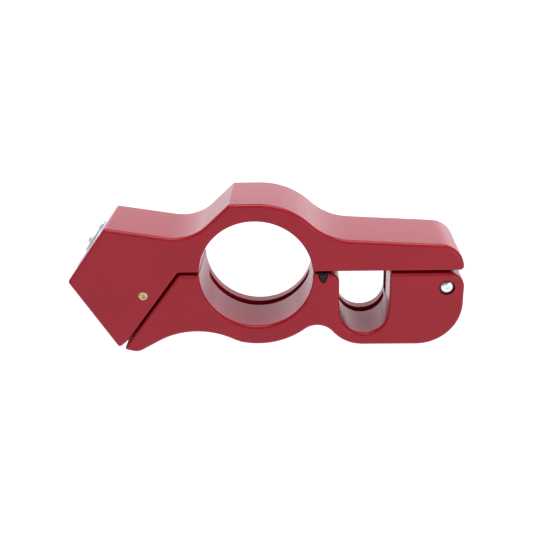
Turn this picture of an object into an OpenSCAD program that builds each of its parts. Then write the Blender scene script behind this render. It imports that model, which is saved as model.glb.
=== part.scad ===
// Handlebar grip lock: a hinged clamp of two milled arms closes round a throttle
// grip and the brake lever beside it, and a keyed bolt in its head locks it shut.
// Millimetres. X runs along the lock to the hinge end, Z is up, Y is the grip's axis.
// The origin is the centre of the grip bore, at the middle of the thickness.

/* [Overall] */
// Thickness of both arms along the grip's axis
thick = 22.5; // [20:0.5:23]
// Radius of the grip bore
grip_r = 17.5; // [16:0.25:18]
// Height of the lower arm's flat top above the bore's centre
land_z = 0.3; // [0:0.1:0.6]
// Gap between the two arms along the flat of the split
split_gap = 0.75; // [0.65:0.05:0.9]

/* [Upper arm] */
// Outer radius of the ring's crown
crown_r = 23.1; // [22:0.1:24]
// Height of the flat on the left of the crown
crown_top = 22.8; // [22.4:0.1:22.9]
// Radius of the blend from the crown into the handle
crown_blend_r = 19; // [15:0.5:22]
// Slope of the handle's top line, in degrees
handle_slope = 3.56; // [2:0.1:4]
// Radius of the handle's rounded end
handle_end_r = 7.9; // [7:0.1:8.5]

/* [Lock head] */
// Slope of the lock face and of the head's joint face, in degrees
face_ang = 53; // [52:0.5:54]
// Gap between the head and the jaw, measured square to the joint
jaw_gap = 0.75; // [0.6:0.05:1]
// Radius of the stepped pocket for the cylinder housing
pocket_r = 8.0; // [7.5:0.1:8.2]
// Depth of that pocket
pocket_d = 24; // [23.5:0.1:24.5]
// Radius of the brass retaining pin
cross_pin_r = 1.5; // [1.2:0.1:1.6]

/* [Lower arm] */
// Outer radius of the ring below the bore
ring_r = 24.25; // [23.5:0.05:25]
// Radius of the lobe under the lever slot
lobe_r = 12.05; // [11.5:0.05:12.4]
// Radius of the blend between the ring and the lobe
waist_r = 6.2; // [5.8:0.1:7]
// Left wall of the lever slot
slot_x0 = 25.6; // [25.2:0.1:25.8]
// Right wall of the lever slot
slot_x1 = 41.0; // [40.6:0.1:41.2]
// Centre height of the lever slot's round bottom
slot_z = -12.8; // [-13.1:0.1:-12.5]
// Corner radius at the foot of the hinge block
foot_r = 14; // [12:0.5:15]
// Width of the relief groove in the bore and the lever slot
groove_w = 3; // [2:0.1:3]
// Depth of that groove
groove_d = 2.6; // [1.5:0.1:3]

/* [Hinge] */
// Radius of the hinge pin
hinge_r = 1.95; // [1.8:0.05:2.1]
// Radius of the knuckle on the upper arm
knuckle_r = 4.0; // [3.6:0.1:4.1]
// Radius of the hinge block's upper corner
hinge_block_r = 5.05; // [4.8:0.05:5.1]

/* [Cylinder] */
// Radius of the housing's front flange
flange_r = 9.1; // [8.8:0.05:9.2]
// Radius of the plug
plug_r = 4.25; // [4:0.05:4.4]
// Radial running clearance of the plug and the bolt
run_gap = 0.05; // [0.03:0.01:0.08]
// Radius of the bolt
bolt_r = 4.75; // [4.6:0.05:4.8]
// Travel of the bolt over a quarter turn of the key
bolt_travel = 4; // [3.6:0.1:4]

/* [Hidden] */
$fn = 96;
half = thick / 2;
// The outlines are drawn from the lower arm's flat top and lifted as a whole.
split_low = 0;
split_high = split_gap;
bore = [0, -land_z];

red = [0.60, 0.18, 0.22];
silver = [0.80, 0.82, 0.86];
steel = [0.62, 0.63, 0.66];
brass = [0.74, 0.66, 0.42];
black = [0.10, 0.10, 0.11];

// --- plane geometry helpers -------------------------------------------------
function unit(v) = v / norm(v);
function polar(c, r, a) = [c[0] + r * cos(a), c[1] + r * sin(a)];
// points on an arc about c from angle a0 to a1, ends included
function arc(c, r, a0, a1, n) = [for (i = [0:n]) polar(c, r, a0 + (a1 - a0) * i / n)];
// direction, in degrees, from p to q
function heading(p, q) = atan2(q[1] - p[1], q[0] - p[0]);
// corner p1 between p0 and p2, rounded to radius r with n steps
function corner(p0, p1, p2, r, n) =
    let (u = unit(p0 - p1), v = unit(p2 - p1), half_a = acos(u * v) / 2,
         t = r / tan(half_a), c = p1 + unit(u + v) * r / sin(half_a),
         a0 = heading(c, p1 + u * t), a1 = heading(c, p1 + v * t),
         d = a1 - a0, turn = d > 180 ? d - 360 : (d < -180 ? d + 360 : d))
    arc(c, r, a0, a0 + turn, n);
// where a circle of radius ra about a meets one of radius rb about b; side is +1 or -1
function meet(a, ra, b, rb, side) =
    let (d = norm(b - a), u = (b - a) / d, k = (ra * ra - rb * rb + d * d) / (2 * d),
         h = sqrt(ra * ra - k * k))
    a + u * k + side * h * [-u[1], u[0]];
// height of a line through p at slope s (degrees) above x
function line_z(p, s, x) = p[1] + tan(s) * (x - p[0]);
function line_x(p, s, z) = p[0] + (z - p[1]) / tan(s);

// --- fixed points -----------------------------------------------------------
hinge = [58.35, split_low - 4.9];
head_pt = [-33.3, -11.6];                       // on the head's joint face
jaw_pt = head_pt + jaw_gap * [sin(face_ang), -cos(face_ang)];
face_pt = [-51.12, 8.06];                       // on the lock face
lock_c = face_pt - 1.3 * [cos(face_ang), sin(face_ang)];
joint_depth = (head_pt - lock_c) * [sin(face_ang), -cos(face_ang)];
pin_depth = 21.5;                              // retaining pin, along the lock axis
pin_off = 1.1;                                 // and to the side of it
bump_x = 20.6;                                 // centre of the bumper's notch
pocket_y0 = 0.8;                                // hinge pocket, near wall
pocket_y1 = 8.0;                                // hinge pocket, far wall
pocket_floor = -9.5;
groove_y1 = 7.1;                                // far side of the relief groove
tongue_gap = 0.2;
seat_d = 0.8;                                   // depth of the flange's seat
flange_up = 0.35;                               // how far the flange stands proud

// outline of the upper arm, anticlockwise
crown_c = [0.8, crown_top - crown_r];
hand_p = [44.68, 9.93];
blend_x = let (zz = hand_p[1] + crown_blend_r / cos(handle_slope) - crown_c[1] + tan(handle_slope) * hand_p[0],
               k = tan(handle_slope), rr = crown_r + crown_blend_r,
               A = 1 + k * k, B = -2 * crown_c[0] - 2 * k * zz,
               C = crown_c[0] * crown_c[0] + zz * zz - rr * rr)
          (-B + sqrt(B * B - 4 * A * C)) / (2 * A);
blend_c = [blend_x, line_z(hand_p, -handle_slope, blend_x) + crown_blend_r / cos(handle_slope)];
end_x = 63.2 - handle_end_r;
end_c = [end_x, line_z(hand_p, -handle_slope, end_x) - handle_end_r / cos(handle_slope)];
blend_a = heading(crown_c, blend_c);
fore = [63.2, split_high];
flank_a = 43;
flank_p = [-10.3, 19.95];
brow_p = [-26.58, 12.57];
brow_a = -9.41;
crest = [line_x(flank_p, flank_a, crown_top), crown_top];
nape_x = (brow_p[1] - flank_p[1] + tan(flank_a) * flank_p[0] - tan(brow_a) * brow_p[0]) / (tan(flank_a) - tan(brow_a));
nape = [nape_x, line_z(brow_p, brow_a, nape_x)];
tip_x = (face_pt[1] - brow_p[1] + tan(brow_a) * brow_p[0] - tan(face_ang) * face_pt[0]) / (tan(brow_a) - tan(face_ang));
face_top = [tip_x, line_z(brow_p, brow_a, tip_x)];
face_low = [-58.65, line_z(face_pt, face_ang, -58.65)];
chin = [-44.75, -25.5];
heel = [line_x(head_pt, face_ang, -22.7), -22.7];
step_u = [line_x(head_pt, face_ang, split_high), split_high];

upper_pts = concat(
    [step_u],
    corner([40, split_high], fore, [63.2, 6], 1.3, 6),
    arc(end_c, handle_end_r, 8, 90 - handle_slope, 12),
    arc(blend_c, crown_blend_r, -90 - handle_slope, blend_a - 180, 14),
    arc(crown_c, crown_r, blend_a, 90, 14),
    corner([0, crown_top], crest, flank_p, 0.8, 4),
    corner(flank_p, nape, brow_p, 14.3, 14),
    corner(brow_p, face_top, face_pt, 1.0, 6),
    corner(face_pt, face_low, chin, 1.2, 6),
    corner(face_low, chin, heel, 1.0, 6),
    corner(chin, heel, step_u, 0.4, 3));

// outline of the lower arm, anticlockwise
lobe_c = [33.0, -12.6];
foot_z = lobe_c[1] - lobe_r;
waist_c = meet([0, 0], ring_r + waist_r, lobe_c, lobe_r + waist_r, -1);
hook_c = [-19.3, -44.5];
hook_r = 24.7;
toe_c = [-39.4, -22.4];
toe_r = 4.45;
toe_line = heading(toe_c, hook_c) + asin((toe_r + hook_r) / norm(hook_c - toe_c));
jaw_tip = [line_x(jaw_pt, face_ang, -25.95), -25.95];
jaw_top = [line_x(jaw_pt, face_ang, split_low), split_low];
right_x = 63.65;
block_c = [right_x - hinge_block_r, split_low - hinge_block_r];
foot_c = [right_x - foot_r, foot_z + foot_r];
hook_end = meet(hook_c, hook_r, [0, 0], ring_r, -1);

lower_pts = concat(
    corner([0, split_low], jaw_top, jaw_tip, 1.0, 5),
    corner(jaw_top, jaw_tip, polar(toe_c, toe_r, -98), 0.7, 5),
    arc(toe_c, toe_r, -98, toe_line - 90, 6),
    arc(hook_c, hook_r, toe_line + 90, heading(hook_c, hook_end) + 1.5, 18),
    arc([0, 0], ring_r, heading([0, 0], hook_end) + 2.5, heading([0, 0], waist_c), 22),
    arc(waist_c, waist_r, heading(waist_c, [0, 0]), heading(waist_c, lobe_c), 12),
    arc(lobe_c, lobe_r, heading(lobe_c, waist_c) < 0 ? heading(lobe_c, waist_c) : heading(lobe_c, waist_c) - 360, -90, 8),
    arc(foot_c, foot_r, -90, 0, 18),
    arc(block_c, hinge_block_r, 0, 90, 10),
    corner([50, split_low], [slot_x1, split_low], [slot_x1, -5], 0.8, 4),
    [[slot_x1, -6], [slot_x0, -6]],
    corner([slot_x0, -5], [slot_x0, split_low], [18, split_low], 2.0, 6));

// --- solid helpers ----------------------------------------------------------
// everything is lifted so that the bore's centre is the origin
module lifted() translate([0, 0, land_z]) children();
// a plate of the outline drawn in X and Z, from y0 to y1
module plate(y0, y1) translate([0, y1, 0]) rotate([90, 0, 0]) linear_extrude(y1 - y0) children();
// a round bar along Y
module bar_y(p, r, y0, y1) translate([p[0], y1, p[1]]) rotate([90, 0, 0]) cylinder(r = r, h = y1 - y0);
// the frame of the lock cylinder: +Z runs into the head, +X down along the lock face
module at_lock() translate([lock_c[0], 0, lock_c[1]]) rotate([0, 180 - face_ang, 0]) children();
module disc(r, d0, d1) translate([0, 0, d0]) cylinder(r = r, h = d1 - d0);
// a bar along the lock frame's -X, from radius r0 out to r1, at depth d
module stem(r, r0, r1, d) translate([-r1, 0, d]) rotate([0, 90, 0]) cylinder(r = r, h = r1 - r0);
// a coil spring along +Z: mean radius, wire radius, height, turns
module coil(rm, rw, h, turns) {
    ns = 6;
    na = 12 * turns;
    pts = [for (i = [0:na]) let (a = 360 * turns * i / na, z = rw + (h - 2 * rw) * i / na)
           for (j = [0:ns - 1]) let (b = 360 * j / ns)
           [(rm + rw * cos(b)) * cos(a), (rm + rw * cos(b)) * sin(a), z + rw * sin(b)]];
    faces = concat(
        [[for (j = [0:ns - 1]) j]],
        [for (i = [0:na - 1]) for (j = [0:ns - 1]) let (k = (j + 1) % ns)
         [i * ns + j, (i + 1) * ns + j, (i + 1) * ns + k, i * ns + k]],
        [[for (j = [ns - 1:-1:0]) na * ns + j]]);
    polyhedron(points = pts, faces = faces, convexity = 4);
}
pin_at = [for (i = [0:4]) 2.7 + 1.9 * i];        // depths of the five pin chambers
key_cut = [0.3, 0.8, 0.1, 0.6, 0.4];             // how deep each key pin's cut is

// --- upper arm --------------------------------------------------------------
module upper_arm() color(red) difference() {
    union() {
        plate(-half, half) polygon(upper_pts);
        // hinge knuckle and its web
        plate(pocket_y0 + tongue_gap, pocket_y1 - tongue_gap) union() {
            translate(hinge) circle(r = knuckle_r);
            translate([hinge[0] - knuckle_r, hinge[1]])
                square([2 * knuckle_r, split_high + 0.5 - hinge[1]]);
        }
    }
    bar_y(bore, grip_r, -half - 1, half + 1);
    bar_y(hinge, hinge_r + run_gap, -half - 1, half + 1);
    at_lock() {
        disc(flange_r + 0.05, -3, seat_d);
        disc(pocket_r, -1, pocket_d);
        disc(bolt_r + 0.1, pocket_d - 1, pocket_d + 5);
    }
    at_lock() translate([pin_off, half + 1, pin_depth]) rotate([90, 0, 0]) cylinder(r = cross_pin_r, h = thick + 2);
}

// --- lower arm --------------------------------------------------------------
module lower_arm() color(red) difference() {
    plate(-half, half) polygon(lower_pts);
    bar_y(bore, grip_r, -half - 1, half + 1);
    // lever slot
    translate([slot_x0, -half - 1, slot_z]) cube([slot_x1 - slot_x0, thick + 2, 7.5]);
    bar_y([(slot_x0 + slot_x1) / 2, slot_z], (slot_x1 - slot_x0) / 2, -half - 1, half + 1);
    // relief groove round the bore and the slot
    bar_y(bore, grip_r + groove_d, groove_y1 - groove_w, groove_y1);
    bar_y([(slot_x0 + slot_x1) / 2, slot_z], (slot_x1 - slot_x0) / 2 + groove_d, groove_y1 - groove_w, groove_y1);
    // hinge pocket, open at the top, the slot wall and the end
    translate([slot_x1 - 3, pocket_y0, pocket_floor]) cube([40, pocket_y1 - pocket_y0, 30]);
    // hinge pin hole, with a shallow countersink at each face
    bar_y(hinge, hinge_r, -half - 1, half + 1);
    bar_y(hinge, hinge_r + 0.45, -half - 1, -half + 0.8);
    bar_y(hinge, hinge_r + 0.45, half - 0.8, half + 1);
    // notch for the rubber bumper
    plate(-half - 1, -half + 6) polygon(notch_pts(1.55, 2.8, split_low + 1));
    // seat of the bolt keeper
    at_lock() disc(6.5, joint_depth, joint_depth + jaw_gap + 6);
}
// bullet outline: half width w, depth d below the land, up to height top
function notch_pts(w, d, top) = concat(
    [[bump_x + w, top], [bump_x - w, top]],
    [for (i = [0:12]) let (s = i / 12, x = -w * cos(180 * s)) [bump_x + x, split_low - d * (1 - pow(abs(x / w), 2.4))]]);

module hinge_pin() color(silver) bar_y(hinge, hinge_r, -half + 0.05, half - 0.05);

module bolt_keeper() color(steel) at_lock() difference() {
    disc(6.5, joint_depth + jaw_gap + 0.3, joint_depth + jaw_gap + 6);
    disc(bolt_r + 0.25, joint_depth, joint_depth + jaw_gap + 4.6);
}

module rubber_bumper() color(black)
    plate(-half + 0.15, -half + 5.95) polygon(notch_pts(1.5, 2.7, split_high - 0.35));

// --- cylinder lock ----------------------------------------------------------
module lock_housing() color(silver) at_lock() difference() {
    union() {
        disc(flange_r - 0.25, -flange_up, 0);
        disc(flange_r, -flange_up + 0.2, seat_d);
        disc(pocket_r - 0.05, seat_d - 0.3, pocket_d - 0.05);
    }
    disc(plug_r + run_gap, -2, 12.3);
    disc(bolt_r + run_gap, 12.2, pocket_d + 1);
    // pin chambers and the slot for their cap
    for (d = pin_at) stem(0.8, 3.5, 8.5, d);
    translate([-9, -1.2, pin_at[0] - 1.1]) cube([2.0, 2.4, pin_at[4] - pin_at[0] + 2.2]);
    // seal groove
    translate([0, 0, 14.2]) difference() { disc(9, 0, 1.6); disc(7.0, -1, 3); }
    // retaining pin hole
    translate([pin_off, half + 1, pin_depth]) rotate([90, 0, 0]) cylinder(r = cross_pin_r + 0.05, h = thick + 2);
    // rivet hole of the dust cover
    translate([-6.4, 0, -2]) cylinder(r = 0.9, h = 3.2);
}

module retaining_pin() color(brass) at_lock()
    translate([pin_off, half - 0.05, pin_depth]) rotate([90, 0, 0]) cylinder(r = cross_pin_r, h = thick - 0.1);

module housing_seal() color(black) at_lock() translate([0, 0, 15.0])
    rotate_extrude() translate([7.35, 0]) circle(r = 0.55);

module lock_plug() color(brass) at_lock() difference() {
    union() {
        disc(plug_r - 0.15, -flange_up, 0);
        disc(plug_r, -flange_up + 0.15, 12.1);
        disc(2.9, 12, 13.0);
        translate([-1.6, -1.6, 12.5]) cube([3.2, 3.2, 2.7]);
    }
    // keyway with one side ward
    translate([-1.8, -0.6, -1]) cube([4.6, 1.2, 11.9]);
    translate([0.4, -1.1, -1]) cube([1.0, 1.2, 11.9]);
    for (d = pin_at) stem(0.8, 0.5, 5, d);
    // clip groove
    translate([0, 0, 12.35]) difference() { disc(4, 0, 0.6); disc(2.4, -1, 2); }
    disc(0.8, 13.2, 17);
}

module key_pins() color(brass) at_lock() for (i = [0:4])
    translate([-(plug_r - 0.15), 0, pin_at[i]]) rotate([0, 90, 0]) {
        cylinder(r = 0.75, h = 1.5 + key_cut[i]);
        translate([0, 0, 1.5 + key_cut[i]]) cylinder(r1 = 0.75, r2 = 0.3, h = 0.4);
    }

module driver_pins() color(steel) at_lock() for (d = pin_at) stem(0.75, plug_r + 0.15, 5.7, d);

module pin_springs() color(steel) at_lock() for (d = pin_at)
    translate([-6.95, 0, d]) rotate([0, 90, 0]) coil(0.52, 0.14, 1.2, 3);

module chamber_cap() color(brass) at_lock()
    translate([-7.65, -1.15, pin_at[0] - 1.05]) cube([0.6, 2.3, pin_at[4] - pin_at[0] + 2.1]);

module plug_clip() color(steel) at_lock() difference() {
    disc(4.65, 12.4, 12.9);
    disc(2.42, 12, 14);
    translate([0, -1.7, 12]) cube([8, 3.4, 3]);
}

module tail_cam() color(steel) at_lock() difference() {
    disc(2.8, 13.1, 19.4);
    translate([-1.65, -1.65, 12]) cube([3.3, 3.3, 3.3]);
    disc(0.9, 14, 20);
    disc(1.75, 17.9, 20);
    // helical track for the drive pin, a quarter turn long
    for (a = [-2:7.5:91]) rotate([0, 0, 180 + a])
        translate([2.0, 0, 14.6 + bolt_travel * min(max(a, 0), 90) / 90]) rotate([0, 90, 0]) cylinder(r = 0.72, h = 2);
}

module cam_screw() color(steel) at_lock() difference() {
    union() {
        disc(0.8, 13.6, 18.2);
        disc(1.65, 17.95, 19.2);
    }
    translate([-2, -0.2, 18.8]) cube([4, 0.4, 1]);
}

module bolt() color(steel) at_lock() difference() {
    union() {
        disc(bolt_r, 13.6, 25.3);
        translate([0, 0, 25.3]) cylinder(r1 = bolt_r, r2 = bolt_r - 0.4, h = 0.4);
    }
    disc(2.95, 13, 20.6);
    // flat that rides on the retaining pin
    translate([pin_off - cross_pin_r - 0.1, -8, pin_depth - bolt_travel - cross_pin_r - 0.1])
        cube([8, 16, bolt_travel + 2 * cross_pin_r + 0.2]);
    stem(0.6, 2.5, 6, 14.6);
}

module drive_pin() color(steel) at_lock() stem(0.6, 2.1, bolt_r - 0.05, 14.6);

// --- dust cover -------------------------------------------------------------
module dust_cover() color(silver) at_lock() difference() {
    union() {
        translate([0, 0, -0.95]) linear_extrude(0.5) union() {
            circle(r = 3.5);
            translate([-6.4, 0]) circle(r = 2.0);
            polygon([[-6.4, -2.0], [-6.4, 2.0], [-0.75, 3.42], [-0.75, -3.42]]);
        }
        translate([-0.5, 0, -1.6]) cylinder(r = 1.2, h = 0.9);
        translate([-0.5, 0, -1.9]) cylinder(r1 = 0.9, r2 = 1.2, h = 0.3);
    }
    translate([-6.4, 0, -3]) cylinder(r = 0.95, h = 5);
}

module cover_rivet() color(steel) at_lock() translate([-6.4, 0, 0]) union() {
    disc(0.9, -1.1, 1.15);
    translate([0, 0, -1.35]) cylinder(r1 = 1.1, r2 = 1.5, h = 0.35);
}

lifted() upper_arm();
lifted() lower_arm();
lifted() hinge_pin();
lifted() bolt_keeper();
lifted() rubber_bumper();
lifted() lock_housing();
lifted() retaining_pin();
lifted() housing_seal();
lifted() lock_plug();
lifted() key_pins();
lifted() driver_pins();
lifted() pin_springs();
lifted() chamber_cap();
lifted() plug_clip();
lifted() tail_cam();
lifted() cam_screw();
lifted() bolt();
lifted() drive_pin();
lifted() dust_cover();
lifted() cover_rivet();
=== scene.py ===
import math

import bmesh
import bpy
from mathutils import Matrix, Vector

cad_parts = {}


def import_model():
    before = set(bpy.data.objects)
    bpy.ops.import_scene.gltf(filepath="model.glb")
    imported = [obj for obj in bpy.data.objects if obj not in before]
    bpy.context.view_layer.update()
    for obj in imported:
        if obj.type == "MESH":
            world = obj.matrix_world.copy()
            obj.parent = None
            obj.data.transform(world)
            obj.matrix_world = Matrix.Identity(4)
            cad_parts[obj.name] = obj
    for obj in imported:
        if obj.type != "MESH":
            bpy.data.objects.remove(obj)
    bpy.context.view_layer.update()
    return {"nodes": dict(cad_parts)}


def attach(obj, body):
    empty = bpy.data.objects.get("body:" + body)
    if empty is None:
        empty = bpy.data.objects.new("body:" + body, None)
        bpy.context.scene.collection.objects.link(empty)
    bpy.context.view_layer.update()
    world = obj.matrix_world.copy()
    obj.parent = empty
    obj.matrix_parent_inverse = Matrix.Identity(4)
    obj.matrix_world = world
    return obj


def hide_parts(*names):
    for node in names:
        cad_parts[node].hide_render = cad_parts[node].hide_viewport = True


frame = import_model()
MM = 0.001
S = bpy.context.scene


# ---------------------------------------------------------------- camera
def camera():
    yaw, pitch, roll = math.radians(-2.973), math.radians(23.999), math.radians(-1.822)
    dist, look = 256.84, Vector((2.843, 0.0, -1.755))
    fwd = Vector((math.sin(yaw) * math.cos(pitch), math.cos(yaw) * math.cos(pitch), -math.sin(pitch)))
    right = Vector((math.cos(yaw), -math.sin(yaw), 0.0))
    up = right.cross(fwd)
    r = right * math.cos(roll) + up * math.sin(roll)
    u = -right * math.sin(roll) + up * math.cos(roll)
    loc = (look - fwd * dist) * MM
    m = Matrix((r, u, -fwd)).transposed().to_4x4()
    m.translation = loc
    cam = bpy.data.cameras.new("camera")
    cam.sensor_fit = "HORIZONTAL"
    cam.sensor_width = 36.0
    cam.lens = 804.49 * 36.0 / 533.0
    cam.clip_start, cam.clip_end = 0.01, 100.0
    ob = bpy.data.objects.new("camera", cam)
    S.collection.objects.link(ob)
    ob.matrix_world = m
    S.camera = ob
    return ob


camera()


# ---------------------------------------------------------------- plane geometry
def V2(x, z):
    return Vector((x, z))


def polar(c, r, a):
    return V2(c[0] + r * math.cos(math.radians(a)), c[1] + r * math.sin(math.radians(a)))


def heading(p, q):
    return math.degrees(math.atan2(q[1] - p[1], q[0] - p[0]))


def meet(a, ra, b, rb, side):
    a, b = V2(*a), V2(*b)
    d = (b - a).length
    u = (b - a) / d
    k = (ra * ra - rb * rb + d * d) / (2 * d)
    h = math.sqrt(ra * ra - k * k)
    return a + u * k + side * h * V2(-u[1], u[0])


def line_z(p, s, x):
    return p[1] + math.tan(math.radians(s)) * (x - p[0])


def line_x(p, s, z):
    return p[0] + (z - p[1]) / math.tan(math.radians(s))


# An outline is a list of elements, anticlockwise, that can be drawn again at any inset d:
# the corners keep their number of points, so the rings of a rounded edge match one to one.
def arc(c, r, a0, a1, n):
    out = a1 > a0  # anticlockwise: the metal is inside the circle
    return lambda d: [polar(c, r - d if out else r + d, a0 + (a1 - a0) * i / n) for i in range(n + 1)]


def corner(p0, p1, p2, r, n):
    p0, p1, p2 = V2(*p0), V2(*p1), V2(*p2)
    u, v = (p0 - p1).normalized(), (p2 - p1).normalized()
    half = math.acos(max(-1, min(1, u.dot(v)))) / 2
    away = (u + v).normalized()
    a, b = p1 - p0, p2 - p1
    convex = a[0] * b[1] - a[1] * b[0] > 0
    t = r / math.tan(half)
    c = p1 + away * r / math.sin(half)
    a0, a1 = heading(c, p1 + u * t), heading(c, p1 + v * t)
    turn = (a1 - a0 + 180) % 360 - 180

    def at(d):
        rr = r - d if convex else r + d
        if convex and rr < 0:
            q = p1 + away * d / math.sin(half)
            return [q] * (n + 1)
        return [polar(c, rr, a0 + turn * i / n) for i in range(n + 1)]

    return at


def outline(elements, d=0.0):
    pts = []
    for e in elements:
        pts += e(d)
    return pts


# ---------------------------------------------------------------- the lock's own numbers, in mm
HALF = 11.25
EDGE = 1.15  # radius of every outer edge of the arms
GRIP_R = 17.5
LOW, HIGH = 0.0, 0.75
# the outlines are drawn from the lower arm's flat top, which stands this far above the bore's centre
LAND = 0.3
BORE = (0.0, -LAND)
FACE_A = 53.0
GAP = 0.75
HINGE = (58.35, LOW - 4.9)
RIGHT_X = 63.65
PIN_OFF, PIN_D = 1.1, 21.5  # the brass pin, across and along the lock's axis
POCKET_Y = (0.8, 8.0)
HEAD_P = (-33.3, -11.6)
SHOWN_GAP = 0.6
JAW_P = (HEAD_P[0] + SHOWN_GAP * math.sin(math.radians(FACE_A)), HEAD_P[1] - SHOWN_GAP * math.cos(math.radians(FACE_A)))
FACE_P = (-51.12, 8.06)
LOCK_C = (FACE_P[0] - 1.3 * math.cos(math.radians(FACE_A)), FACE_P[1] - 1.3 * math.sin(math.radians(FACE_A)))
SLOT0, SLOT1, SLOT_Z = 25.6, 41.0, -12.8
SLOT_C = ((SLOT0 + SLOT1) / 2, SLOT_Z)
SLOT_R = (SLOT1 - SLOT0) / 2
BUMP_X = 20.6
CROWN_R, CROWN_TOP = 23.1, 22.8
CROWN_C = (0.8, CROWN_TOP - CROWN_R)
BLEND_R, HAND_A, HAND_P = 19.0, 3.56, (44.68, 9.93)
END_R = 7.9


def upper_elements():
    k = math.tan(math.radians(HAND_A))
    zz = HAND_P[1] + BLEND_R / math.cos(math.radians(HAND_A)) - CROWN_C[1] + k * HAND_P[0]
    rr = CROWN_R + BLEND_R
    A, B, C = 1 + k * k, -2 * CROWN_C[0] - 2 * k * zz, CROWN_C[0] ** 2 + zz * zz - rr * rr
    bx = (-B + math.sqrt(B * B - 4 * A * C)) / (2 * A)
    blend_c = (bx, line_z(HAND_P, -HAND_A, bx) + BLEND_R / math.cos(math.radians(HAND_A)))
    ex = 63.2 - END_R
    end_c = (ex, line_z(HAND_P, -HAND_A, ex) - END_R / math.cos(math.radians(HAND_A)))
    ba = heading(CROWN_C, blend_c)
    flank_a, flank_p = 43.0, (-10.3, 19.95)
    brow_a, brow_p = -9.41, (-26.58, 12.57)
    crest = (line_x(flank_p, flank_a, CROWN_TOP), CROWN_TOP)
    t = lambda a: math.tan(math.radians(a))
    nx = (brow_p[1] - flank_p[1] + t(flank_a) * flank_p[0] - t(brow_a) * brow_p[0]) / (t(flank_a) - t(brow_a))
    nape = (nx, line_z(brow_p, brow_a, nx))
    tx = (FACE_P[1] - brow_p[1] + t(brow_a) * brow_p[0] - t(FACE_A) * FACE_P[0]) / (t(brow_a) - t(FACE_A))
    face_top = (tx, line_z(brow_p, brow_a, tx))
    face_low = (-58.65, line_z(FACE_P, FACE_A, -58.65))
    chin = (-44.75, -25.5)
    heel = (line_x(HEAD_P, FACE_A, -22.7), -22.7)
    step = (line_x(HEAD_P, FACE_A, HIGH), HIGH)
    bx0 = math.sqrt(GRIP_R ** 2 - (HIGH + LAND) ** 2)
    a_in = math.degrees(math.asin((HIGH + LAND + 1.45) / GRIP_R))
    fore_a0 = 10.0
    return [
        corner(heel, step, (-18, HIGH), 0.3, 4),
        corner(step, (-bx0, HIGH), (-bx0, 5), 0.45, 4),
        arc(BORE, GRIP_R, 180 - a_in, a_in, 96),
        corner((bx0, 5), (bx0, HIGH), (40, HIGH), 0.45, 4),
        corner((40, HIGH), (63.2, HIGH), (63.2, 6), 1.3, 8),
        arc(end_c, END_R, fore_a0, 90 - HAND_A, 20),
        arc(blend_c, BLEND_R, -90 - HAND_A, ba - 180, 24),
        arc(CROWN_C, CROWN_R, ba, 90, 26),
        corner((0, CROWN_TOP), crest, flank_p, 0.9, 6),
        corner(flank_p, nape, brow_p, 14.3, 24),
        corner(brow_p, face_top, FACE_P, 1.0, 8),
        corner(FACE_P, face_low, chin, 1.2, 10),
        corner(face_low, chin, heel, 1.0, 8),
        corner(chin, heel, step, 0.5, 5),
    ]


def lower_elements():
    ring_r, lobe_r, waist_r, foot_r, blk = 24.25, 12.05, 6.2, 14.0, 5.05
    lobe_c = (33.0, -12.6)
    foot_z = lobe_c[1] - lobe_r
    waist_c = meet((0, 0), ring_r + waist_r, lobe_c, lobe_r + waist_r, -1)
    hook_c, hook_r = (-19.3, -44.5), 24.7
    toe_c, toe_r = (-39.4, -22.4), 4.45
    d = math.hypot(hook_c[0] - toe_c[0], hook_c[1] - toe_c[1])
    toe_line = heading(toe_c, hook_c) + math.degrees(math.asin((toe_r + hook_r) / d))
    tip = (line_x(JAW_P, FACE_A, -25.95), -25.95)
    top = (line_x(JAW_P, FACE_A, LOW), LOW)
    foot_c = (RIGHT_X - foot_r, foot_z + foot_r)
    hook_end = meet(hook_c, hook_r, (0, 0), ring_r, -1)
    lobe_a = heading(lobe_c, waist_c)
    lobe_a = lobe_a if lobe_a < 0 else lobe_a - 360
    a_in = math.degrees(math.asin(1.45 / GRIP_R))
    return [
        corner((0, LOW), top, tip, 1.0, 8),
        corner(top, tip, polar(toe_c, toe_r, -98), 0.7, 6),
        arc(toe_c, toe_r, -98, toe_line - 90, 10),
        arc(hook_c, hook_r, toe_line + 90, heading(hook_c, hook_end) + 2.0, 28),
        arc((0, 0), ring_r, heading((0, 0), hook_end) + 3.0, heading((0, 0), waist_c), 40),
        arc(waist_c, waist_r, heading(waist_c, (0, 0)), heading(waist_c, lobe_c), 22),
        arc(lobe_c, lobe_r, lobe_a, -90, 14),
        arc(foot_c, foot_r, -90, 0, 28),
        arc((RIGHT_X - blk, LOW - blk), blk, 0, 90, 18),
        corner((50, LOW), (SLOT1, LOW), (SLOT1, -5), 0.9, 6),
        arc(SLOT_C, SLOT_R, 0, -180, 48),
        corner((SLOT0, -5), (SLOT0, LOW), (18, LOW), 3.0, 12),
        corner((20, LOW), (GRIP_R, LOW), (GRIP_R, -3), 0.5, 4),
        arc(BORE, GRIP_R, -a_in, -180 + a_in, 96),
        corner((-GRIP_R, -3), (-GRIP_R, LOW), (-20, LOW), 0.5, 4),
    ]


# ---------------------------------------------------------------- mesh helpers
def new_object(name, bm):
    me = bpy.data.meshes.new(name)
    bmesh.ops.recalc_face_normals(bm, faces=bm.faces)
    bm.to_mesh(me)
    bm.free()
    ob = bpy.data.objects.new(name, me)
    S.collection.objects.link(ob)
    return ob


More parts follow.
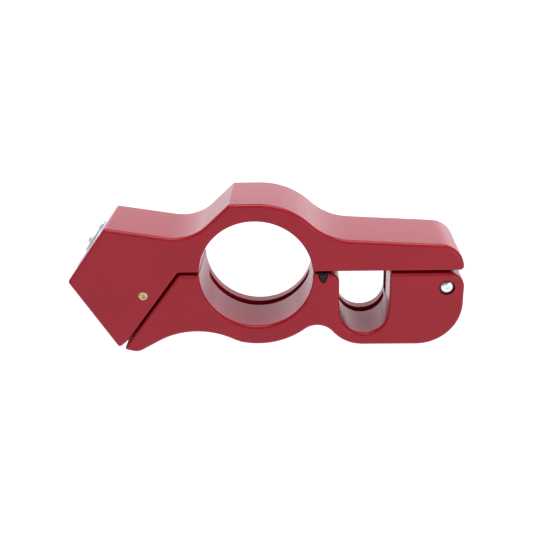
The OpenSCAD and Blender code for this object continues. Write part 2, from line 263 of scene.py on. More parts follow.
def rings_to_mesh(bm, rings, close=True, caps=True):
    """rings: lists of 3-D points with the same count; neighbours are joined, and the ends are capped."""
    vs = [[bm.verts.new(Vector(p) * MM) for p in r] for r in rings]
    n = len(vs[0])
    for a, b in zip(vs, vs[1:]):
        for i in range(n):
            j = (i + 1) % n
            if not close and j == 0:
                continue
            try:
                bm.faces.new((a[i], a[j], b[j], b[i]))
            except ValueError:
                pass
    if caps:
        bm.faces.new(vs[0])
        bm.faces.new(list(reversed(vs[-1])))
    return vs


def rounded_plate(name, elements, y0, y1, r, seg=6):
    rings = []
    for i in range(seg + 1):
        a = math.radians(90 - 90 * i / seg)
        d, y = r * (1 - math.cos(a)), y0 + r * (1 - math.sin(a))
        rings.append([(p[0], y, p[1]) for p in outline(elements, d)])
    for i in range(seg + 1):
        a = math.radians(90 * i / seg)
        d, y = r * (1 - math.cos(a)), y1 - r * (1 - math.sin(a))
        rings.append([(p[0], y, p[1]) for p in outline(elements, d)])
    bm = bmesh.new()
    rings_to_mesh(bm, rings)
    bmesh.ops.remove_doubles(bm, verts=bm.verts, dist=2e-6)
    return new_object(name, bm)


def frame_y(p):
    """Frame for a lathe about Y through p: its z runs along +Y."""
    return Matrix.Translation(Vector((p[0], 0, p[1])) * MM) @ Matrix.Rotation(math.radians(-90), 4, "X")


def frame_lock():
    """The cylinder lock's frame: +Z runs into the head, +X down along the lock face."""
    return Matrix.Translation(Vector((LOCK_C[0], 0, LOCK_C[1])) * MM) @ Matrix.Rotation(math.radians(180 - FACE_A), 4, "Y")


def lathe(name, profile, m, n=96):
    """profile: (radius, z) pairs, closed on the axis at both ends or closed as a ring."""
    bm = bmesh.new()
    rings = []
    for r, z in profile:
        rings.append([(r * math.cos(2 * math.pi * i / n), r * math.sin(2 * math.pi * i / n), z) for i in range(n)])
    on_axis = profile[0][0] < 1e-6
    if on_axis:
        inner = rings[1:-1]
        vs = rings_to_mesh(bm, inner, caps=False)
        a = bm.verts.new(Vector((0, 0, profile[0][1])) * MM)
        b = bm.verts.new(Vector((0, 0, profile[-1][1])) * MM)
        for i in range(n):
            j = (i + 1) % n
            bm.faces.new((a, vs[0][j], vs[0][i]))
            bm.faces.new((b, vs[-1][i], vs[-1][j]))
    else:
        vs = rings_to_mesh(bm, rings, caps=False)
        for i in range(n):
            j = (i + 1) % n
            bm.faces.new((vs[-1][i], vs[-1][j], vs[0][j], vs[0][i]))
    bm.transform(m)
    return new_object(name, bm)


def prism(name, rings, m=None):
    bm = bmesh.new()
    rings_to_mesh(bm, rings)
    if m is not None:
        bm.transform(m)
    return new_object(name, bm)


def boxed(name, lo, hi):
    (x0, y0, z0), (x1, y1, z1) = lo, hi
    return prism(name, [[(x0, y, z0), (x1, y, z0), (x1, y, z1), (x0, y, z1)] for y in (y0, y1)])


def boolean(ob, other, op="DIFFERENCE"):
    mod = ob.modifiers.new("cut", "BOOLEAN")
    mod.operation = op
    mod.solver = "EXACT"
    mod.object = other
    dg = bpy.context.evaluated_depsgraph_get()
    me = bpy.data.meshes.new_from_object(ob.evaluated_get(dg))
    ob.modifiers.clear()
    old = ob.data
    ob.data = me
    bpy.data.meshes.remove(old)
    me.name = ob.name
    gone = other.data
    bpy.data.objects.remove(other)
    bpy.data.meshes.remove(gone)
    return ob


def soften(ob, angle=32, weighted=True):
    me = ob.data
    me.shade_smooth()
    me.set_sharp_from_angle(angle=math.radians(angle))
    if weighted:
        mod = ob.modifiers.new("normals", "WEIGHTED_NORMAL")
        mod.mode = "FACE_AREA"
        mod.weight = 100
        mod.keep_sharp = True
    return ob


def cut_hole(ob, p, r, y0, y1, flare=0.0):
    """Round hole along Y from y0 to y1, flared at y0 if it is the open end."""
    s = 1 if y1 > y0 else -1
    prof = [(0, y0 - s * 1.0), (r + flare, y0 - s * 1.0), (r + flare, y0)]
    if flare:
        for i in range(1, 5):
            a = math.radians(90 * i / 4)
            prof.append((r + flare * (1 - math.sin(a)), y0 + s * flare * (1 - math.cos(a))))
    else:
        prof.append((r, y0))
    prof += [(r, y1), (0, y1)]
    if s < 0:
        prof = list(reversed(prof))
    clean = [prof[0]]
    for q in prof[1:]:
        if abs(q[0] - clean[-1][0]) > 1e-6 or abs(q[1] - clean[-1][1]) > 1e-6:
            clean.append(q)
    return boolean(ob, lathe("cutter", clean, frame_y(p), 64))


def inset_poly(pts, d):
    """A convex, anticlockwise polygon drawn again d inside itself, vertex for vertex."""
    out, n = [], len(pts)
    for i in range(n):
        p, q, r = V2(*pts[i - 1]), V2(*pts[i]), V2(*pts[(i + 1) % n])
        u, v = (q - p).normalized(), (r - q).normalized()
        nu, nv = V2(-u[1], u[0]), V2(-v[1], v[0])
        b = (nu + nv).normalized()
        out.append(q + b * d / max(0.3, b.dot(nu)))
    return out


def pillow(name, ring_at, y0, y1, r, m, seg=4):
    """A plate of outline ring_at(inset) from y0 to y1 along the frame's z, every edge rounded to r."""
    rings = []
    for i in range(seg + 1):
        a = math.radians(90 - 90 * i / seg)
        rings.append([(p[0], p[1], y0 + r * (1 - math.sin(a))) for p in ring_at(r * (1 - math.cos(a)))])
    for i in range(seg + 1):
        a = math.radians(90 * i / seg)
        rings.append([(p[0], p[1], y1 - r * (1 - math.sin(a))) for p in ring_at(r * (1 - math.cos(a)))])
    bm = bmesh.new()
    rings_to_mesh(bm, rings)
    bmesh.ops.remove_doubles(bm, verts=bm.verts, dist=2e-6)
    bm.transform(m)
    return new_object(name, bm)


# x and z of the object become the frame's x and y, and its z runs along +Y
ALONG_Y = Matrix(((MM, 0, 0, 0), (0, 0, MM, 0), (0, MM, 0, 0), (0, 0, 0, 1))) @ Matrix.Scale(1 / MM, 4)
LOCK = frame_lock()
LIFT = Matrix.Translation((0.0, 0.0, LAND * MM))


def at(m, x, y, z=0.0):
    return m @ Matrix.Translation(Vector((x, y, z)) * MM)


# ---------------------------------------------------------------- the two arms
def upper_arm():
    ob = rounded_plate("v_upper_arm", upper_elements(), -HALF, HALF, EDGE, 8)
    lug = outline([arc(HINGE, 4.0, 180, 360, 32)]) + [V2(HINGE[0] + 4.0, HIGH + 0.8), V2(HINGE[0] - 4.0, HIGH + 0.8)]
    boolean(ob, pillow("lug", lambda d: inset_poly(lug, d), POCKET_Y[0] + 0.2, POCKET_Y[1] - 0.2, 0.25, ALONG_Y, 3), "UNION")
    boolean(ob, lathe("cutter", [(0, 0.3), (2.0, 0.3), (2.0, 8.6), (0, 8.6)], frame_y(HINGE), 64))
    # seat and bore of the cylinder lock
    prof = [(0, -3.0), (9.5, -3.0), (9.5, -0.16), (9.15, 0.1), (9.15, 0.8), (8.0, 0.8), (8.0, 24.0), (4.85, 24.0), (4.85, 29.0), (0, 29.0)]
    boolean(ob, lathe("cutter", prof, LOCK, 96))
    c = LOCK @ Vector((PIN_OFF * MM, 0, PIN_D * MM))
    pin = (c[0] / MM, c[2] / MM)
    cut_hole(ob, pin, 1.5, -HALF, 0.0, 0.2)
    cut_hole(ob, pin, 1.5, HALF, 0.0, 0.2)
    return soften(ob)


def lower_arm():
    ob = rounded_plate("v_lower_arm", lower_elements(), -HALF, HALF, EDGE, 8)
    for c, r in (((0.0, BORE[1] - 3.4), GRIP_R - 0.8), ((SLOT_C[0], SLOT_Z - 2.15), SLOT_R - 0.15)):
        boolean(ob, lathe("cutter", [(0, 4.0), (r, 4.0), (r, 7.3), (0, 7.3)], frame_y(c), 128))
    boolean(ob, boxed("cutter", (SLOT1 - 3, POCKET_Y[0], -9.5), (80, POCKET_Y[1], 20)))
    boolean(ob, lathe("cutter", [(0, POCKET_Y[0]), (9.0, POCKET_Y[0]), (9.0, POCKET_Y[1]), (0, POCKET_Y[1])], frame_y((SLOT1 + 1.0, -4.4)), 96))
    for y, s in ((-HALF, 1), (HALF, -1)):
        cut_hole(ob, HINGE, 2.4, y, y + s * 0.8, 0.18)
    boolean(ob, lathe("cutter", [(0, -12), (1.95, -12), (1.95, 12), (0, 12)], frame_y(HINGE), 64))
    # the bumper's notch, its front edge rounded off
    lip = [(0.5, -HALF - 1.0), (0.5, -HALF)]
    lip += [(0.5 * (1 - math.sin(math.radians(a))), -HALF + 0.5 * (1 - math.cos(math.radians(a)))) for a in (18, 36, 54, 72, 90)]
    lip.append((0.0, -HALF + 6.0))
    boolean(ob, prism("cutter", [[(p[0], y, p[1]) for p in notch(1.55 + e, 2.8 + e, 1.5)] for e, y in lip]))
    jd = (Vector((HEAD_P[0] - LOCK_C[0], HEAD_P[1] - LOCK_C[1]))).dot(V2(math.sin(math.radians(FACE_A)), -math.cos(math.radians(FACE_A))))
    boolean(ob, lathe("cutter", [(0, jd), (6.5, jd), (6.5, jd + GAP + 6.0), (0, jd + GAP + 6.0)], LOCK, 72))
    return soften(ob)


def notch(w, d, top):
    """Bullet outline of the bumper and its notch, anticlockwise from the top right."""
    pts = [V2(BUMP_X + w, top), V2(BUMP_X - w, top)]
    for i in range(21):
        x = -w * math.cos(math.pi * i / 20)
        pts.append(V2(BUMP_X + x, LOW - d * (1 - abs(x / w) ** 2.4)))
    return pts


# ---------------------------------------------------------------- small parts seen from outside
def hinge_pin():
    end = HALF - 0.05
    half = [(0, -end + 0.33), (0.28, -end + 0.33), (0.42, -end + 0.05), (0.62, -end), (1.2, -end + 0.05), (1.42, -end + 0.13), (1.9, -end + 0.47), (1.95, -end + 0.59)]
    prof = half + [(r, -y) for r, y in reversed(half)]
    return soften(lathe("v_hinge_pin", prof, frame_y(HINGE), 72), 28)


def retaining_pin():
    c = LOCK @ Vector((PIN_OFF * MM, 0, PIN_D * MM))
    end = HALF - 0.05
    half = [(0, -end + 0.05), (0.25, -end + 0.05), (0.9, -end + 0.02), (1.22, -end), (1.42, -end + 0.09), (1.5, -end + 0.25)]
    prof = half + [(r, -y) for r, y in reversed(half)]
    return soften(lathe("v_retaining_pin", prof, frame_y((c[0] / MM, c[2] / MM)), 64), 28)


def bumper():
    pts = notch(1.5, 2.7, HIGH - 0.35)
    return soften(pillow("v_rubber_bumper", lambda d: inset_poly(pts, d), -HALF + 0.15, -HALF + 5.95, 0.55, ALONG_Y, 6), 50)


def housing():
    prof = [(4.3, -0.2), (4.42, -0.35), (5.1, -0.35), (5.2, -0.22), (5.32, -0.22), (5.42, -0.35), (8.5, -0.35), (8.8, -0.33), (9.0, -0.24),
            (9.1, -0.08), (9.1, 0.72), (9.02, 0.8), (7.95, 0.8), (7.95, 14.2), (7.0, 14.2), (7.0, 15.8), (7.95, 15.8), (7.95, 23.75),
            (7.75, 23.95), (5.0, 23.95), (4.8, 23.75), (4.8, 12.3), (4.3, 12.3)]
    ob = lathe("v_lock_housing", prof, LOCK, 112)
    for i in range(5):
        z = 2.7 + 1.9 * i
        m = at(LOCK, 0, 0, z) @ Matrix.Rotation(math.radians(-90), 4, "Y")
        boolean(ob, lathe("cutter", [(0, 3.5), (0.8, 3.5), (0.8, 8.5), (0, 8.5)], m, 24))
    ring = [[(x, y, z) for x, y in ((-9, -1.2), (-7.0, -1.2), (-7.0, 1.2), (-9, 1.2))] for z in (1.6, 11.4)]
    boolean(ob, prism("cutter", ring, LOCK))
    boolean(ob, lathe("cutter", [(0, -12), (1.55, -12), (1.55, 12), (0, 12)], at(LOCK, PIN_OFF, 0, PIN_D) @ Matrix.Rotation(math.radians(-90), 4, "X"), 48))
    boolean(ob, lathe("cutter", [(0, -2), (0.9, -2), (0.9, 1.2), (0, 1.2)], at(LOCK, -6.4, 0), 32))
    return soften(ob, 30)


def plug():
    prof = [(0, -0.35), (3.85, -0.35), (4.1, -0.3), (4.25, -0.15), (4.25, 12.1), (2.9, 12.1), (2.9, 12.35), (2.4, 12.35), (2.4, 12.95), (2.9, 12.95), (2.9, 13.0), (0, 13.0)]
    ob = lathe("v_lock_plug", prof, LOCK, 96)
    sq = [[(x, y, z) for x, y in ((-1.6, -1.6), (1.6, -1.6), (1.6, 1.6), (-1.6, 1.6))] for z in (12.5, 15.2)]
    boolean(ob, prism("add", sq, LOCK), "UNION")
    # keyway with one side ward, flared at the mouth
    way = [V2(-1.8, -0.6), V2(0.4, -0.6), V2(0.4, -1.1), V2(1.4, -1.1), V2(1.4, -0.6), V2(2.8, -0.6), V2(2.8, 0.6), V2(-1.8, 0.6)]
    grow = [V2(-1, -1), V2(-1, -1), V2(-1, -1), V2(1, -1), V2(1, -1), V2(1, -1), V2(1, 1), V2(-1, 1)]
    rings = [[(p[0] + g[0] * e, p[1] + g[1] * e, z) for p, g in zip(way, grow)] for e, z in ((0.2, -1.0), (0.2, -0.35), (0.0, -0.05), (0.0, 10.9))]
    boolean(ob, prism("cutter", rings, LOCK))
    for i in range(5):
        m = at(LOCK, 0, 0, 2.7 + 1.9 * i) @ Matrix.Rotation(math.radians(-90), 4, "Y")
        boolean(ob, lathe("cutter", [(0, 0.5), (0.8, 0.5), (0.8, 5.0), (0, 5.0)], m, 24))
    boolean(ob, lathe("cutter", [(0, 13.2), (0.8, 13.2), (0.8, 17), (0, 17)], LOCK, 32))
    return soften(ob, 30)


def teardrop(d):
    phi = math.degrees(math.acos(1.5 / 6.4))
    a = [polar((0, 0), 3.5 - d, -(180 - phi) + 2 * (180 - phi) * i / 40) for i in range(41)]
    b = [polar((-6.4, 0), 2.0 - d, (180 - phi) + 2 * phi * i / 20) for i in range(21)]
    return a + b


def dust_cover():
    ob = pillow("v_dust_cover", teardrop, -0.95, -0.45, 0.16, LOCK, 3)
    knob = [(0, -1.9), (0.45, -1.88), (0.85, -1.82), (0.98, -1.72), (1.05, -1.55), (1.2, -1.45), (1.2, -1.2), (1.08, -1.1), (1.05, -0.98), (1.2, -0.75), (0, -0.75)]
    boolean(ob, lathe("add", knob, at(LOCK, -0.5, 0), 48), "UNION")
    boolean(ob, lathe("cutter", [(0, -3), (0.95, -3), (0.95, 2), (0, 2)], at(LOCK, -6.4, 0), 40))
    return soften(ob, 34)


def cover_rivet():
    prof = [(0, -1.35), (0.5, -1.34), (1.0, -1.27), (1.32, -1.15), (1.5, -1.0), (0.9, -1.0), (0.9, 1.15), (0, 1.15)]
    return soften(lathe("v_cover_rivet", prof, at(LOCK, -6.4, 0), 48), 40)


def bolt_nose():
    prof = [(0, 25.7), (4.1, 25.7), (4.35, 25.66), (4.62, 25.4), (4.75, 25.1), (4.75, 13.75), (4.6, 13.6), (2.95, 13.6), (2.95, 20.6), (0, 20.6)]
    ob = lathe("v_bolt", list(reversed(prof)), LOCK, 80)
    x0, z0, z1 = PIN_OFF - 1.5 - 0.1, PIN_D - 4.0 - 1.5 - 0.1, PIN_D + 1.5 + 0.1
    flat = [[(x, y, z) for x, y in ((x0, -8), (x0 + 8, -8), (x0 + 8, 8), (x0, 8))] for z in (z0, z1)]
    boolean(ob, prism("cutter", flat, LOCK))
    m = at(LOCK, 0, 0, 14.6) @ Matrix.Rotation(math.radians(-90), 4, "Y")
    boolean(ob, lathe("cutter", [(0, 2.5), (0.6, 2.5), (0.6, 6.0), (0, 6.0)], m, 32))
    return soften(ob, 30)


def drive_pin():
    prof = [(0, 2.15), (0.42, 2.15), (0.55, 2.28), (0.55, 4.5), (0.42, 4.63), (0, 4.63)]
    return soften(lathe("v_drive_pin", prof, at(LOCK, 0, 0, 14.6) @ Matrix.Rotation(math.radians(-90), 4, "Y"), 40), 30)


def keeper():
    jd = (Vector((HEAD_P[0] - LOCK_C[0], HEAD_P[1] - LOCK_C[1]))).dot(V2(math.sin(math.radians(FACE_A)), -math.cos(math.radians(FACE_A))))
    a, b, c = jd + GAP + 0.3, jd + GAP + 6.0, jd + GAP + 4.6
    prof = [(0, b), (6.5, b), (6.5, a + 0.2), (6.3, a), (5.35, a), (5.0, a + 0.3), (5.0, c), (0, c)]
    return soften(lathe("v_bolt_keeper", list(reversed(prof)), LOCK, 72), 30)


def springs():
    bm = bmesh.new()
    turns, na, ns, rm, rw, h = 3, 66, 10, 0.52, 0.14, 1.2
    for k in range(5):
        m = at(LOCK, -6.95, 0, 2.7 + 1.9 * k) @ Matrix.Rotation(math.radians(90), 4, "Y")
        rings = []
        for i in range(na + 1):
            a, z = 2 * math.pi * turns * i / na, rw + (h - 2 * rw) * i / na
            ring = []
            for j in range(ns):
                b = 2 * math.pi * j / ns
                v = m @ (Vector(((rm + rw * math.cos(b)) * math.cos(a), (rm + rw * math.cos(b)) * math.sin(a), z + rw * math.sin(b))) * MM)
                ring.append(v / MM)
            rings.append(ring)
        rings_to_mesh(bm, rings)
    ob = new_object("v_pin_springs", bm)
    return soften(ob, 60, False)


# ---------------------------------------------------------------- materials
class Look:
    """A node material on one Principled shader, with textures in object space (metres)."""

    def __init__(self, name, metallic, rough, color):
        self.m = bpy.data.materials.new(name)
        self.m.use_nodes = True
        self.t = self.m.node_tree
        self.t.nodes.clear()
        self.out = self.node("ShaderNodeOutputMaterial")
        self.b = self.node("ShaderNodeBsdfPrincipled")
        self.link(self.b.outputs["BSDF"], self.out.inputs["Surface"])
        self.b.inputs["Metallic"].default_value = metallic
        self.b.inputs["Roughness"].default_value = rough
        self.b.inputs["Base Color"].default_value = (*color, 1)
        self.tc = self.node("ShaderNodeTexCoord")
        self.coord = self.tc.outputs["Object"]

    def node(self, kind, **kw):
        n = self.t.nodes.new(kind)
        for k, v in kw.items():
            setattr(n, k, v)
        return n

    def link(self, a, b):
        self.t.links.new(a, b)

    def set(self, name, value):
        self.b.inputs[name].default_value = value

    def stretch(self, scale=(1, 1, 1), turn=(0, 0, 0), loc=(0, 0, 0)):
        n = self.node("ShaderNodeMapping", vector_type="POINT")
        n.inputs["Scale"].default_value = scale
        n.inputs["Rotation"].default_value = turn
        n.inputs["Location"].default_value = loc
        self.link(self.coord, n.inputs["Vector"])
        return n.outputs["Vector"]

    def noise(self, scale, detail=3, rough=0.55, vec=None, distortion=0.0):
        n = self.node("ShaderNodeTexNoise")
        n.inputs["Scale"].default_value = scale
        n.inputs["Detail"].default_value = detail
        n.inputs["Roughness"].default_value = rough
        n.inputs["Distortion"].default_value = distortion
        self.link(vec or self.coord, n.inputs["Vector"])
        return n.outputs["Fac"]

    def span(self, fac, a, b, lo=0.0, hi=1.0, smooth=False):
        n = self.node("ShaderNodeMapRange", clamp=True)
        if smooth:
            n.interpolation_type = "SMOOTHSTEP"
        for k, v in (("From Min", a), ("From Max", b), ("To Min", lo), ("To Max", hi)):
            n.inputs[k].default_value = v
        self.link(fac, n.inputs["Value"])
        return n.outputs["Result"]

    def math(self, op, a, b=None):
        n = self.node("ShaderNodeMath", operation=op)
        for i, v in enumerate((a, b)):
            if v is None:
                continue
            if isinstance(v, (int, float)):
                n.inputs[i].default_value = v
            else:
                self.link(v, n.inputs[i])
        return n.outputs[0]

    def mix(self, fac, a, b):
        n = self.node("ShaderNodeMix", data_type="RGBA")
        if isinstance(fac, (int, float)):
            n.inputs[0].default_value = fac
        else:
            self.link(fac, n.inputs[0])
        for i, v in ((6, a), (7, b)):
            if isinstance(v, tuple):
                n.inputs[i].default_value = (*v, 1)
            else:
                self.link(v, n.inputs[i])
        return n.outputs[2]

    def color(self, c):
        self.link(c, self.b.inputs["Base Color"])

    def rough(self, r):
        self.link(r, self.b.inputs["Roughness"])

    def bump(self, height, depth, strength=1.0, below=None):
        n = self.node("ShaderNodeBump")
        n.inputs["Strength"].default_value = strength
        n.inputs["Distance"].default_value = depth
        self.link(height, n.inputs["Height"])
        if below is not None:
            self.link(below, n.inputs["Normal"])
        self.link(n.outputs["Normal"], self.b.inputs["Normal"])
        return n.outputs["Normal"]

    def lock_space(self):
        """Coordinates with the lock cylinder's axis as z and its face at the origin."""
        n = self.node("ShaderNodeMapping", vector_type="POINT")
        inv = (LIFT @ LOCK).inverted()
        n.inputs["Rotation"].default_value = inv.to_euler()
        n.inputs["Location"].default_value = inv.translation
        self.link(self.coord, n.inputs["Vector"])
        return n.outputs["Vector"]

    def around(self, vec, centre=(0.0, 0.0), axis="Z"):
        """Distance from an axis through centre, from a vector output."""
        s = self.node("ShaderNodeSeparateXYZ")
        self.link(vec, s.inputs[0])
        a, b = (s.outputs[0], s.outputs[1]) if axis == "Z" else (s.outputs[0], s.outputs[2])
        u = self.math("SUBTRACT", a, centre[0])
        v = self.math("SUBTRACT", b, centre[1])
        return self.math("SQRT", self.math("ADD", self.math("MULTIPLY", u, u), self.math("MULTIPLY", v, v)))


def red_coat():
    k = Look("red_coat", 0.0, 0.26, (0.31, 0.010, 0.018))
    s = k.node("ShaderNodeSeparateXYZ")
    k.link(k.tc.outputs["Normal"], s.inputs[0])
    ny = k.math("ABSOLUTE", s.outputs[1])
    # painted highlight: the rounded edges are made a brighter red where they catch the light
    fillet_highlight = k.math("MULTIPLY", k.span(ny, 0.12, 0.4, smooth=True), k.span(ny, 0.97, 0.8, smooth=True))
    cloud = k.noise(55, 3, 0.5)
    fleck = k.noise(5200, 2, 0.6)
    c = k.mix(k.span(cloud, 0.35, 0.65), (0.295, 0.0085, 0.0185), (0.320, 0.0100, 0.0210))
    c = k.mix(k.math("MULTIPLY", k.span(fleck, 0.5, 0.8), 0.12), c, (0.38, 0.013, 0.022))
    c = k.mix(k.math("MULTIPLY", fillet_highlight, 0.3), c, (0.39, 0.008, 0.016))
    # painted shade: the countersinks around the hinge pin are darkened to near black
    ring = k.around(k.coord, (HINGE[0] * MM, (HINGE[1] + LAND) * MM), "Y")
    countersink_shade = k.span(ring, 0.00234, 0.00242, 1.0, 0.0)
    c = k.mix(countersink_shade, c, (0.006, 0.003, 0.004))
    # painted shade: the two joint faces inside the narrow gap between the head and the jaw are darkened
    p = k.node("ShaderNodeSeparateXYZ")
    k.link(k.coord, p.inputs[0])
    sa, ca = math.sin(math.radians(FACE_A)), math.cos(math.radians(FACE_A))
    along = k.math("SUBTRACT", k.math("MULTIPLY", p.outputs[0], sa), k.math("MULTIPLY", p.outputs[2], ca))
    off = k.math("SUBTRACT", along, (HEAD_P[0] * sa - (HEAD_P[1] + LAND) * ca) * MM)
    slit_shade = k.math("MULTIPLY", k.span(off, -0.00003, -0.00001), k.span(off, (SHOWN_GAP + 0.01) * MM, (SHOWN_GAP + 0.03) * MM, 1.0, 0.0))
    slit_shade = k.math("MULTIPLY", slit_shade, k.math("MULTIPLY", k.span(p.outputs[2], 0.0002, 0.0010, 1.0, 0.0), k.span(p.outputs[0], -0.0185, -0.0175, 1.0, 0.0)))
    c = k.mix(slit_shade, c, (0.11, 0.004, 0.008))
    k.color(c)
    fine = k.noise(900, 3, 0.6)
    wear = k.noise(1, 4, 0.6, k.stretch((140, 900, 140), (0, 0.35, 0)))
    r = k.span(fine, 0.3, 0.7, 0.225, 0.265)
    r = k.math("ADD", r, k.span(wear, 0.45, 0.75, 0.0, 0.02))
    # the painted shade in the head-jaw gap and in the countersinks is also made rougher
    r = k.math("ADD", r, k.math("MULTIPLY", k.math("MAXIMUM", slit_shade, countersink_shade), 0.4))
    k.rough(r)
    k.set("IOR", 1.32)
    peel = k.noise(1500, 2, 0.5)
    n1 = k.bump(peel, 0.0000030, 1.0)
    k.bump(k.noise(5200, 1, 0.5), 0.0000007, 1.0, n1)
    return k.m


def chrome():
    k = Look("chrome_plate", 0.4, 0.4, (0.74, 0.76, 0.81))
    lk = k.lock_space()
    rad = k.around(lk)
    turned = k.math("SINE", k.math("MULTIPLY", rad, 2 * math.pi / 0.00011))
    fine = k.noise(3500, 3, 0.6)
    k.color(k.mix(k.span(k.noise(300, 3, 0.6), 0.35, 0.7), (0.78, 0.80, 0.85), (0.68, 0.70, 0.75)))
    k.set("Specular Tint", (0.62, 0.64, 0.70, 1.0))
    k.set("Specular IOR Level", 0.3)
    k.rough(k.span(fine, 0.3, 0.7, 0.36, 0.45))
    n1 = k.bump(turned, 0.0000010, 0.5)
    k.bump(fine, 0.0000012, 0.5, n1)
    return k.m


def pin_steel():
    k = Look("pin_steel", 1.0, 0.24, (0.74, 0.75, 0.77))
    rad = k.around(k.coord, (HINGE[0] * MM, (HINGE[1] + LAND) * MM), "Y")
    turned = k.math("SINE", k.math("MULTIPLY", rad, 2 * math.pi / 0.00016))
    scuff = k.noise(1, 4, 0.6, k.stretch((2500, 2500, 700), (0, 0.7, 0)))
    k.color(k.mix(k.span(scuff, 0.4, 0.7), (0.78, 0.79, 0.81), (0.62, 0.62, 0.64)))
    k.rough(k.span(scuff, 0.3, 0.7, 0.2, 0.34))
    k.bump(turned, 0.0000015, 0.6, k.bump(scuff, 0.000002, 0.5))
    return k.m


def hard_steel():
    k = Look("hard_steel", 1.0, 0.34, (0.46, 0.45, 0.44))
    lk = k.lock_space()
    m = k.node("ShaderNodeMapping", vector_type="POINT")
    m.inputs["Scale"].default_value = (3800, 3800, 260)
    k.link(lk, m.inputs["Vector"])
    drawn = k.noise(1, 3, 0.6, m.outputs["Vector"])
    stain = k.noise(420, 4, 0.65)
    k.color(k.mix(k.span(stain, 0.4, 0.75), (0.50, 0.49, 0.48), (0.34, 0.32, 0.30)))
    k.rough(k.span(drawn, 0.3, 0.7, 0.27, 0.42))
    k.bump(drawn, 0.000003, 0.7)
    return k.m


def spring_steel():
    k = Look("spring_steel", 1.0, 0.3, (0.62, 0.62, 0.64))
    k.color(k.mix(k.span(k.noise(1800, 3, 0.6), 0.4, 0.7), (0.66, 0.66, 0.68), (0.42, 0.41, 0.40)))
    k.rough(k.span(k.noise(6000, 2, 0.6), 0.3, 0.7, 0.22, 0.4))
    k.bump(k.noise(9000, 2, 0.5), 0.000001, 0.6)
    return k.m


def brass(name="brass", centre=None):
    k = Look(name, 1.0, 0.36, (0.60, 0.44, 0.19))
    tarnish = k.noise(700, 4, 0.6)
    k.color(k.mix(k.span(tarnish, 0.42, 0.62), (0.62, 0.49, 0.25), (0.27, 0.19, 0.09)))
    saw = k.noise(1, 3, 0.6, k.stretch((5200, 5200, 600), (0, 0.5, 0)))
    k.rough(k.span(saw, 0.3, 0.7, 0.3, 0.46))
    k.bump(saw, 0.0000028, 0.7)
    return k.m


def rubber():
    k = Look("black_rubber", 0.0, 0.5, (0.015, 0.009, 0.013))
    k.color(k.mix(k.span(k.noise(500, 3, 0.6), 0.35, 0.7), (0.010, 0.006, 0.009), (0.020, 0.012, 0.017)))
    k.rough(k.span(k.noise(2400, 2, 0.6), 0.3, 0.7, 0.42, 0.6))
    k.bump(k.noise(4800, 3, 0.6), 0.000006, 0.8)
    k.set("Specular IOR Level", 0.22)
    return k.m


MAT = {"red": red_coat(), "chrome": chrome(), "pin": pin_steel(), "hard": hard_steel(), "spring": spring_steel(), "brass": brass(), "rubber": rubber()}

# the CAD nodes that stay, each with its finish
CARRIED = {"housing_seal": "rubber", "key_pins": "brass", "driver_pins": "hard", "chamber_cap": "brass", "plug_clip": "spring",
           "tail_cam": "hard", "cam_screw": "hard"}

PIECES = [
    (upper_arm, "upper_arm", "upper_body", "red", "red_coat"),
    (lower_arm, "lower_arm", "lower_body", "red", "red_coat"),
    (hinge_pin, "hinge_pin", "lower_body", "pin", "pin_steel"),
    (keeper, "bolt_keeper", "lower_body", "hard", "hard_steel"),
    (bumper, "rubber_bumper", "lower_body", "rubber", "black_rubber"),
    (housing, "lock_housing", "upper_body", "chrome", "chrome_plate"),
    (retaining_pin, "retaining_pin", "upper_body", "brass", "brass"),
    (springs, "pin_springs", "upper_body", "spring", "spring_steel"),
    (plug, "lock_plug", "plug_body", "brass", "brass"),
    (bolt_nose, "bolt", "bolt_body", "hard", "hard_steel"),
    (drive_pin, "drive_pin", "bolt_body", "hard", "hard_steel"),
    (dust_cover, "dust_cover", "cover_body", "chrome", "chrome_plate"),
    (cover_rivet, "cover_rivet", "upper_body", "pin", "pin_steel"),
]
for build, node, body, look, slot in PIECES:
    piece = build()
    piece.data.transform(LIFT)
    piece.data.materials.clear()
    piece.data.materials.append(MAT[look])
    for poly in piece.data.polygons:
        poly.material_index = 0
    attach(piece, body)
    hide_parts(node)

for node, look in CARRIED.items():
    ob = frame["nodes"][node]
    for s in ob.material_slots:
        s.link = "OBJECT"
        s.material = MAT[look]


# ---------------------------------------------------------------- studio
def floor():
    me = bpy.data.meshes.new("floor")
    z, h = -0.0268, 40.0
    me.from_pydata([(-h, -h, z), (h, -h, z), (h, h, z), (-h, h, z)], [], [(0, 1, 2, 3)])
    ob = bpy.data.objects.new("floor", me)
    S.collection.objects.link(ob)
    k = Look("floor", 0.0, 0.9, (0.86, 0.86, 0.86))
    k.color(k.mix(k.span(k.noise(18, 3, 0.5), 0.3, 0.7), (0.15, 0.15, 0.15), (0.17, 0.17, 0.17)))
    k.b.inputs["Specular IOR Level"].default_value = 0.0
    k.b.inputs["Emission Color"].default_value = (0.98, 0.99, 1.06, 1)
    k.b.inputs["Emission Strength"].default_value = 1.1
    me.materials.append(k.m)


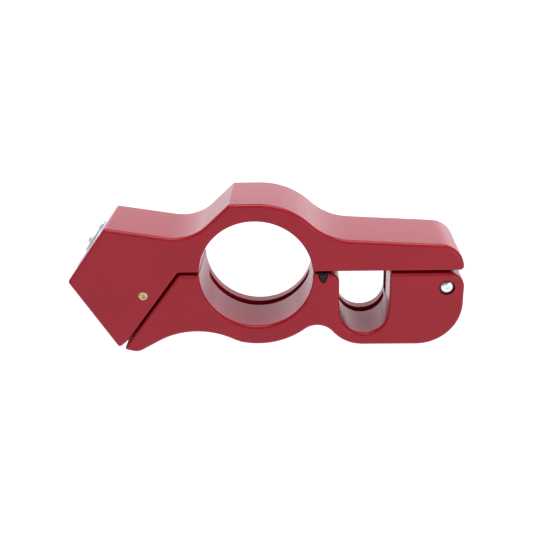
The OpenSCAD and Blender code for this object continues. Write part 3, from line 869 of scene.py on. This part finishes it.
def world():
    """A pale room with an unlit strip of ceiling above the front."""
    w = bpy.data.worlds.new("studio")
    S.world = w
    w.use_nodes = True
    t = w.node_tree
    bg = t.nodes["Background"]
    tc, xyz = t.nodes.new("ShaderNodeTexCoord"), t.nodes.new("ShaderNodeSeparateXYZ")
    t.links.new(tc.outputs["Generated"], xyz.inputs[0])

    def ramp(src, a, b, lo, hi):
        n = t.nodes.new("ShaderNodeMapRange")
        n.interpolation_type = "SMOOTHSTEP"
        for k, v in (("From Min", a), ("From Max", b), ("To Min", lo), ("To Max", hi)):
            n.inputs[k].default_value = v
        t.links.new(src, n.inputs["Value"])
        return n.outputs["Result"]

    def times(a, b):
        n = t.nodes.new("ShaderNodeMath")
        n.operation = "MULTIPLY"
        t.links.new(a, n.inputs[0])
        t.links.new(b, n.inputs[1])
        return n.outputs[0]

    strip = times(times(ramp(xyz.outputs[2], 0.42, 0.60, 0.0, 1.0), ramp(xyz.outputs[2], 0.90, 0.97, 1.0, 0.0)), ramp(xyz.outputs[1], -0.30, -0.12, 1.0, 0.0))
    bg.inputs["Color"].default_value = (1, 1, 1, 1)
    t.links.new(ramp(strip, 0.0, 1.0, 0.385, 0.04), bg.inputs["Strength"])


def panel(name, loc, look, size, power, color=(1, 1, 1)):
    li = bpy.data.lights.new(name, "AREA")
    li.shape = "RECTANGLE"
    li.size, li.size_y = size
    li.energy = power
    li.color = color
    ob = bpy.data.objects.new(name, li)
    S.collection.objects.link(ob)
    ob.location = loc
    ob.rotation_euler = (Vector(look) - Vector(loc)).to_track_quat("-Z", "Y").to_euler()
    return ob


floor()
world()
# radiance of a panel is power / (pi * area)
panel("back_panel", (0.0, 1.6, 0.62), (0, 0, 0.1), (4.4, 1.7), 1.65 * math.pi * 4.4 * 1.7, (0.95, 0.97, 1.06))
panel("top_panel", (0.05, -0.12, 1.05), (0, 0, 0), (0.9, 0.5), 6.9 * math.pi * 0.45)
panel("front_panel", (1.3, -1.5, 0.45), (0, 0, 0), (1.4, 1.2), 0.6 * math.pi * 1.68)
panel("near_panel", (0.26, -0.32, 0.06), (0, 0, 0), (0.2, 0.2), 1.75 * math.pi * 0.04)

S.view_settings.view_transform = "Standard"
S.view_settings.look = "None"
S.view_settings.exposure = 0.0
S.view_settings.gamma = 1.0

bpy.context.view_layer.update()
